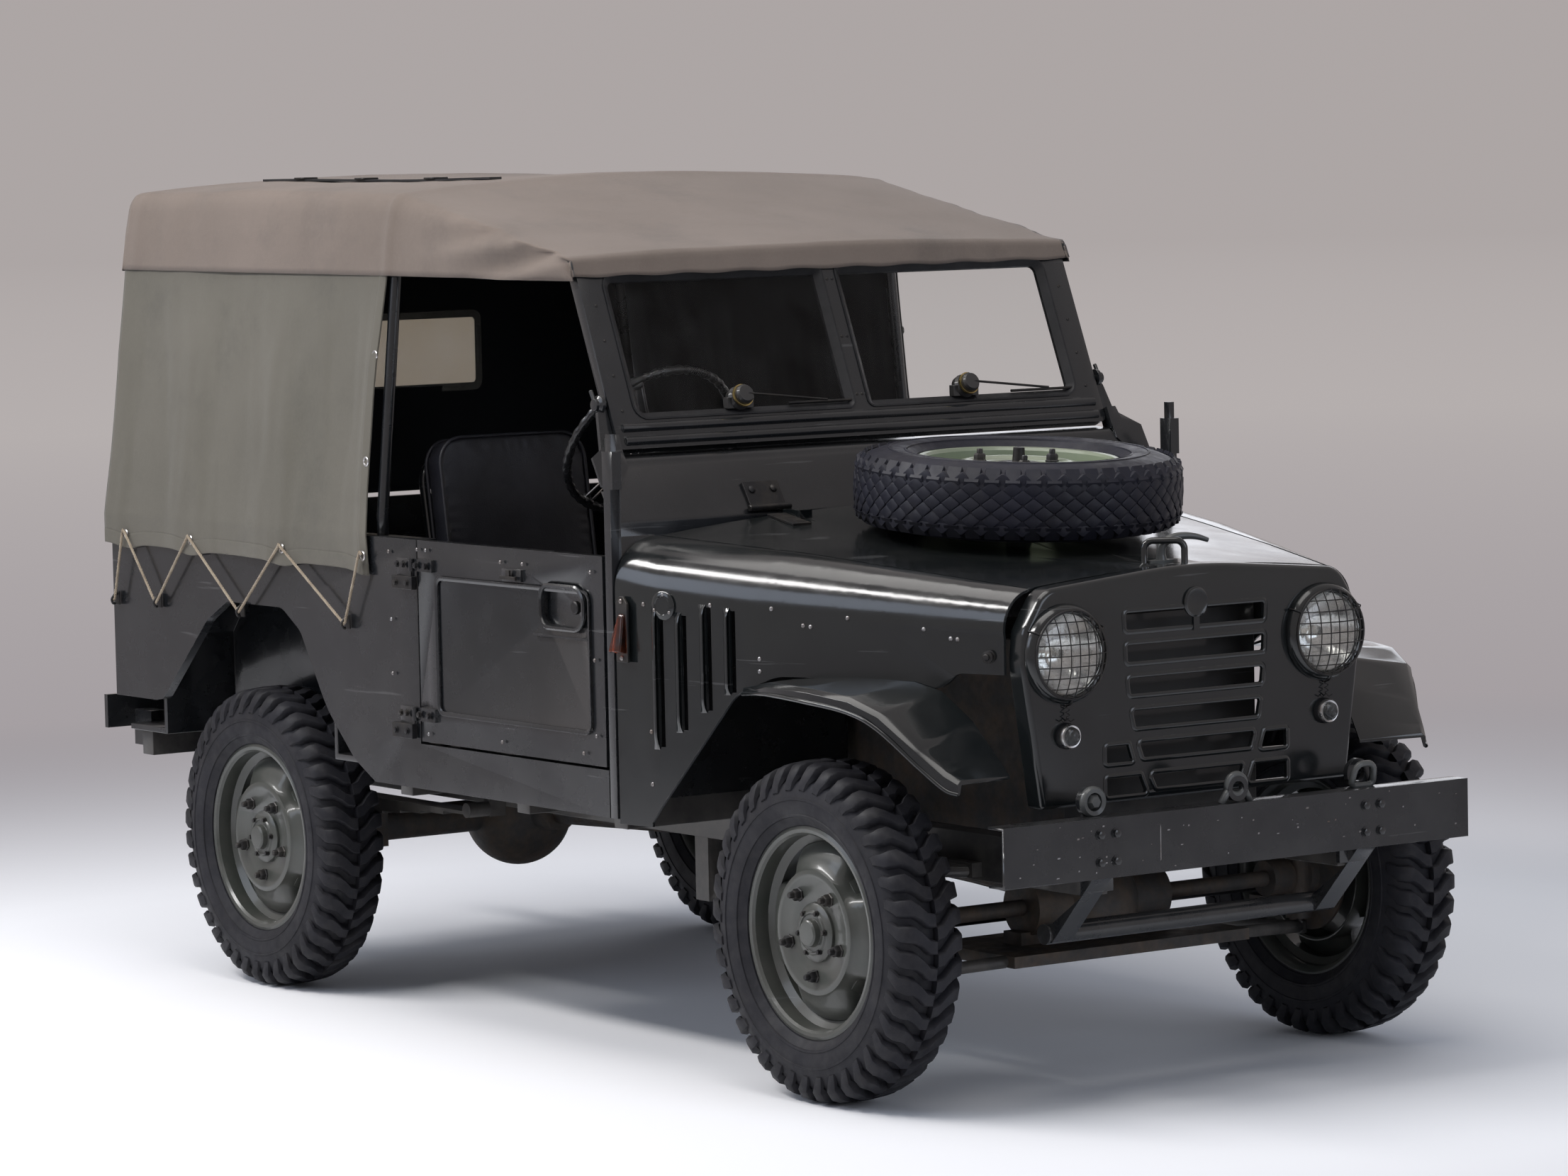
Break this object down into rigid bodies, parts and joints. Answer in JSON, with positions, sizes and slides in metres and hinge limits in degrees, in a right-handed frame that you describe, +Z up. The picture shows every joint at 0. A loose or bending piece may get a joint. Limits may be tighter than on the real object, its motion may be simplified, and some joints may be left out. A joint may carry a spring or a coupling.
{
  "type": "light army 4x4 car with a canvas top",
  "caption": "Light 4x4 field car with a laced canvas top, slotted front, spare wheel on the bonnet, opening doors, bonnet and tailgate, and steered, rolling wheels.",
  "frame": {"origin": "on the ground, below the middle of the car's bounding box", "axes": "+X forward, +Y to the car's left, +Z up"},
  "size_m": [3.52, 1.58, 1.8758],
  "materials": {
    "body_paint": "satin",
    "wheel_paint": "satin",
    "chassis_black": "satin",
    "cast": "rough",
    "steel": "satin",
    "tyre": "matte",
    "glass": "clear",
    "clear_sheet": "clear",
    "canvas_roof": "matte",
    "canvas_side": "matte",
    "seat_cover": "satin",
    "wheel_rim_black": "satin",
    "lamp": "clear",
    "rope": "matte",
    "rust": "rough"
  },
  "bodies": {
    "chassis": {"chassis_frame": "chassis_black", "front_suspension": "cast", "wishbones": "chassis_black", "torsion_bars": "chassis_black", "rear_axle": "cast", "rear_springs": "chassis_black", "driveline": "cast", "propeller_shafts": "cast", "engine_block": "cast", "radiator": "chassis_black", "exhaust": "rust", "front_bumper": "body_paint", "rear_bumpers": "body_paint", "tub_sides": "body_paint", "tub_floor": "body_paint", "bonnet_sides": "body_paint", "grille_shell": "body_paint", "front_wings": "body_paint", "cowl": "body_paint", "windscreen_frame": "body_paint", "windscreen_glass": "glass", "seat_pads": "seat_cover", "seat_frames": "body_paint", "steering_column": "body_paint", "canopy_top": "canvas_roof", "side_curtains": "canvas_side", "rear_curtain": "canvas_side", "rear_window": "clear_sheet", "canopy_frame": "body_paint", "lamps": "lamp", "lacing": "rope"},
    "knuckle_right": {"knuckle_right": "cast"},
    "knuckle_left": {"knuckle_left": "cast"},
    "tie_rod": {"tie_rod": "steel"},
    "wheel_front_right": {"wheel_front_right": "wheel_paint", "tyre_front_right": "tyre"},
    "wheel_front_left": {"wheel_front_left": "wheel_paint", "tyre_front_left": "tyre"},
    "wheel_rear_right": {"wheel_rear_right": "wheel_paint", "tyre_rear_right": "tyre"},
    "wheel_rear_left": {"wheel_rear_left": "wheel_paint", "tyre_rear_left": "tyre"},
    "bonnet": {"bonnet_lid": "body_paint", "spare_wheel": "wheel_paint", "spare_tyre": "tyre"},
    "door_right": {"door_right": "body_paint"},
    "door_left": {"door_left": "body_paint"},
    "tailgate": {"tailgate": "body_paint"},
    "steering_wheel": {"steering_wheel": "wheel_rim_black"}
  },
  "joints": [
    {"name": "steer_left", "type": "hinge", "parent": "chassis", "child": "knuckle_left", "pos_m": [1.253, 0.575, 0.348], "axis": [0, 0, 1], "range_deg": [-28, 28]},
    {"name": "steer_right", "type": "hinge", "parent": "chassis", "child": "knuckle_right", "pos_m": [1.253, -0.575, 0.348], "axis": [0, 0, 1], "range_deg": [-28, 28]},
    {"name": "steering_wheel_turn", "type": "hinge", "parent": "chassis", "child": "steering_wheel", "pos_m": [0.17, -0.35, 1.29], "axis": [-0.788, 0, 0.6157], "range_deg": [-430, 430]},
    {"name": "tie_rod_slide", "type": "slide", "parent": "chassis", "child": "tie_rod", "axis": [0, 1, 0], "range_m": [-0.08, 0.08]},
    {"name": "spin_front_left", "type": "hinge", "parent": "knuckle_left", "child": "wheel_front_left", "pos_m": [1.253, 0.65, 0.348], "axis": [0, 1, 0], "continuous": true},
    {"name": "spin_front_right", "type": "hinge", "parent": "knuckle_right", "child": "wheel_front_right", "pos_m": [1.253, -0.65, 0.348], "axis": [0, 1, 0], "continuous": true},
    {"name": "spin_rear_left", "type": "hinge", "parent": "chassis", "child": "wheel_rear_left", "pos_m": [-0.947, 0.65, 0.348], "axis": [0, 1, 0], "continuous": true},
    {"name": "spin_rear_right", "type": "hinge", "parent": "chassis", "child": "wheel_rear_right", "pos_m": [-0.947, -0.65, 0.348], "axis": [0, 1, 0], "continuous": true},
    {"name": "door_right_swing", "type": "hinge", "parent": "chassis", "child": "door_right", "pos_m": [-0.146, -0.772, 0.86], "axis": [0, 0, -1], "range_deg": [0, 75]},
    {"name": "door_left_swing", "type": "hinge", "parent": "chassis", "child": "door_left", "pos_m": [-0.146, 0.772, 0.86], "axis": [0, 0, 1], "range_deg": [0, 75]},
    {"name": "bonnet_lift", "type": "hinge", "parent": "chassis", "child": "bonnet", "pos_m": [0.622, 0, 1.172], "axis": [0, -1, 0], "range_deg": [0, 45]},
    {"name": "tailgate_drop", "type": "hinge", "parent": "chassis", "child": "tailgate", "pos_m": [-1.536, 0, 0.658], "axis": [0, -1, 0], "range_deg": [0, 92]}
  ],
  "couplings": [
    {"joint": "steer_right", "follows": "steer_left", "ratio": 1},
    {"joint": "steering_wheel_turn", "follows": "steer_left", "ratio": 15},
    {"joint": "tie_rod_slide", "follows": "steer_left", "m_per_rad": -0.1306}
  ]
}
